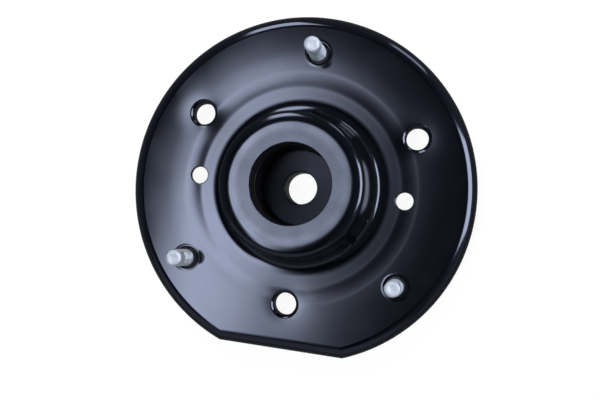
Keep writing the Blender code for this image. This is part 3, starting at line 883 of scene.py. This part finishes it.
def stageSheet(name, corners, material, seen=False):
    mesh = bpy.data.meshes.new(name)
    mesh.from_pydata(corners, [], [(0, 1, 2, 3)])
    sheet = addObject(name, mesh, material)
    sheet.visible_camera = sheet.visible_shadow = seen
    return sheet


def softStep(n, value, edge, soft):
    # Logistic step 1 / (1 + exp((edge - value) / soft)); a negative soft falls instead of rising
    power = n.math("MINIMUM", n.math("DIVIDE", n.minus(edge, value), soft), 40.0)
    return n.math("DIVIDE", 1.0, n.plus(1.0, n.math("EXPONENT", power)))


def makeKey(v):
    # Large soft box above and to the left, drawn in the slopes (u, w) of the mirrored sight lines.
    # Its light is step * step * strength * (1 + slope * off the middle), plus a bell for each patch:
    # strength * exp(-(du * du + dw * dw) / 2)
    material = bpy.data.materials.new("key_light")
    n = emptyNodes(material)
    x, y = n.split(n.objectPlace())[:2]
    reach = v["height"] + cameraValues["position"][2] * mm
    cx, cy = cameraValues["position"][0] * mm, cameraValues["position"][1] * mm
    u, w = n.math("DIVIDE", n.minus(x, cx), reach), n.math("DIVIDE", n.minus(y, cy), reach)
    c, s = math.cos(v["turn"]), math.sin(v["turn"])
    across = n.minus(n.times(u, c), n.times(w, s))
    along = n.plus(n.times(u, s), n.times(w, c))
    leaning = n.plus(across, n.times(along, v["leftLean"]))
    acrossShape = n.times(softStep(n, leaning, v["left"], v["leftSoft"]),
                          softStep(n, across, v["right"], -v["rightSoft"]))
    alongShape = n.times(softStep(n, along, v["bottom"], v["bottomSoft"]),
                         softStep(n, along, v["top"], -v["topSoft"]))
    gain = n.plus(1.0, n.times(v["slope"], n.minus(across, 0.5 * (v["left"] + v["right"]))))
    gain = n.times(n.math("MAXIMUM", gain, v["least"]), v["strength"])
    total = n.times(n.times(acrossShape, alongShape), gain)
    for strength, placeU, placeW, wideU, wideW in v["patches"]:
        du = n.math("DIVIDE", n.minus(u, placeU), wideU)
        dw = n.math("DIVIDE", n.minus(w, placeW), wideW)
        square = n.plus(n.times(du, du), n.times(dw, dw))
        total = n.plus(total, n.times(strength, n.math("EXPONENT", n.times(square, -0.5))))
    total = n.math("MAXIMUM", total, 0.0)
    light = n.add("ShaderNodeEmission", {"Color": lampColour, "Strength": total})
    n.add("ShaderNodeOutputMaterial", {"Surface": light.outputs[0]})
    left, right = [cx + side * reach for side in v["cardX"]]
    near, far = [cy + side * reach for side in v["cardY"]]
    h = v["height"]
    corners = [(left, near, h), (left, far, h), (right, far, h), (right, near, h)]
    card = stageSheet("key_light", corners, material)
    card.rotation_euler = (0, 0, imageTurn)


# A strip that lights nothing diffusely is only seen mirrored in the paint and the metal.
# Azimuth is in the picture's frame; low and high are measured from straight up
cardDistance = 4.0
cardValues = {
    "right_light": {"azimuth": 4.0, "low": 32.0, "high": 70.0, "spread": 19.0, "strength": 12.5,
                    "soft": 0.22, "diffuse": False},
    "top_light": {"azimuth": 108.0, "low": 34.0, "high": 66.0, "spread": 8.5, "strength": 9.5,
                  "soft": 0.3, "diffuse": True},
    "corner_light": {"azimuth": 59.0, "low": 58.0, "high": 84.0, "spread": 9.0, "strength": 4.5,
                     "soft": 0.4, "diffuse": True},
    "near_light": {"azimuth": -110.0, "low": 32.0, "high": 88.0, "spread": 52.0, "strength": 0.5,
                   "soft": 0.3, "diffuse": True},
}


def makeCard(name, v):
    # A flat card that faces the part and fades out towards its edges
    material = bpy.data.materials.new(name)
    n = emptyNodes(material)
    x, y = n.split(n.objectPlace())[:2]
    fade = [n.ramp(n.math("ABSOLUTE", side), 1.0 - v["soft"], 1.0, 1.0, 0.0) for side in (x, y)]
    strength = n.times(n.times(*fade), v["strength"])
    light = n.add("ShaderNodeEmission", {"Color": lampColour, "Strength": strength})
    n.add("ShaderNodeOutputMaterial", {"Surface": light.outputs[0]})
    card = stageSheet(name, [(-1, -1, 0), (1, -1, 0), (1, 1, 0), (-1, 1, 0)], material)
    card.visible_diffuse = v["diffuse"]
    middle = math.radians(0.5 * (v["low"] + v["high"]))
    azimuth = math.radians(v["azimuth"]) + imageTurn
    flat = math.sin(middle)
    direction = Vector((flat * math.cos(azimuth), flat * math.sin(azimuth), math.cos(middle)))
    tall = cardDistance * math.tan(math.radians(0.5 * (v["high"] - v["low"])))
    wide = cardDistance * math.tan(math.radians(v["spread"]))
    facing = direction.to_track_quat("Z", "Y").to_matrix().to_4x4()
    size = Matrix.Diagonal((wide, tall, 1.0, 1.0))
    card.matrix_world = Matrix.Translation(direction * cardDistance) @ facing @ size


backValues = {
    "floorHeight": -0.0206, "floorReach": 6.0, "floorTone": (0.75, 0.76, 0.78), "glossyFloor": 0.08,
    "glow": 0.94, "shadow": (0.13, 0.13, 0.13), "white": (1.0, 1.0, 1.0),
    "world": (0.93, 0.98, 1.1), "zenith": 0.085, "horizon": 0.34, "side": -50.0, "sideShare": 0.6,
}


def makeFloor(v):
    # To the camera a white glow plus the share that keeps the shadow, in reflections a plain grey,
    # for other light a pale matte floor, and from below the camera looks through it
    material = bpy.data.materials.new("floor")
    n = emptyNodes(material)
    path = n.add("ShaderNodeLightPath").outputs
    matteFloor = n.add("ShaderNodeBsdfDiffuse", {"Color": v["floorTone"]})
    straight = n.math("MAXIMUM", path["Is Camera Ray"], path["Is Transmission Ray"])
    mirrored = n.times(path["Is Glossy Ray"], v["glossyFloor"])
    strength = n.math("MAXIMUM", n.times(straight, v["glow"]), mirrored)
    white = n.add("ShaderNodeEmission", {"Color": v["white"], "Strength": strength})
    shadow = n.add("ShaderNodeBsdfDiffuse", {"Color": v["shadow"]})
    seen = n.add("ShaderNodeAddShader", (white.outputs[0], shadow.outputs[0]))
    sharp = n.math("MAXIMUM", straight, path["Is Glossy Ray"])
    above = n.mixShader(sharp, matteFloor.outputs[0], seen.outputs[0])
    underside = n.add("ShaderNodeNewGeometry").outputs["Backfacing"]
    clear = n.add("ShaderNodeBsdfTransparent").outputs[0]
    floor = n.mixShader(n.times(underside, path["Is Camera Ray"]), above, clear)
    n.add("ShaderNodeOutputMaterial", {"Surface": floor})
    r, h = v["floorReach"], v["floorHeight"]
    stageSheet("floor", [(-r, -r, h), (r, -r, h), (r, r, h), (-r, r, h)], material, True)


def makeWorld(v):
    # White to the camera. For other light dim overhead, brighter towards the horizon and most on
    # one side: zenith + (horizon - zenith) * (1 - height) * (1 + share * facing)
    world = bpy.data.worlds.new("world")
    n = emptyNodes(world)
    x, y, z = n.split(n.add("ShaderNodeTexCoord").outputs["Generated"])
    side = math.radians(v["side"]) + imageTurn
    facing = n.plus(n.times(x, math.cos(side)), n.times(y, math.sin(side)))
    low = n.minus(1.0, n.math("ABSOLUTE", z))
    gain = n.plus(1.0, n.times(facing, v["sideShare"]))
    strength = n.plus(v["zenith"], n.times(n.times(low, gain), v["horizon"] - v["zenith"]))
    plain = n.add("ShaderNodeBackground", {"Color": v["world"], "Strength": strength})
    white = n.add("ShaderNodeBackground", {"Color": v["white"]})
    straight = n.add("ShaderNodeLightPath").outputs["Is Camera Ray"]
    surface = n.mixShader(straight, plain.outputs[0], white.outputs[0])
    n.add("ShaderNodeOutputWorld", {"Surface": surface})
    bpy.context.scene.world = world


makeKey(keyValues)
for cardName, cardValue in cardValues.items():
    makeCard(cardName, cardValue)
makeFloor(backValues)
makeWorld(backValues)
bpy.context.scene.view_settings.view_transform = "Standard"
print("lights ready")
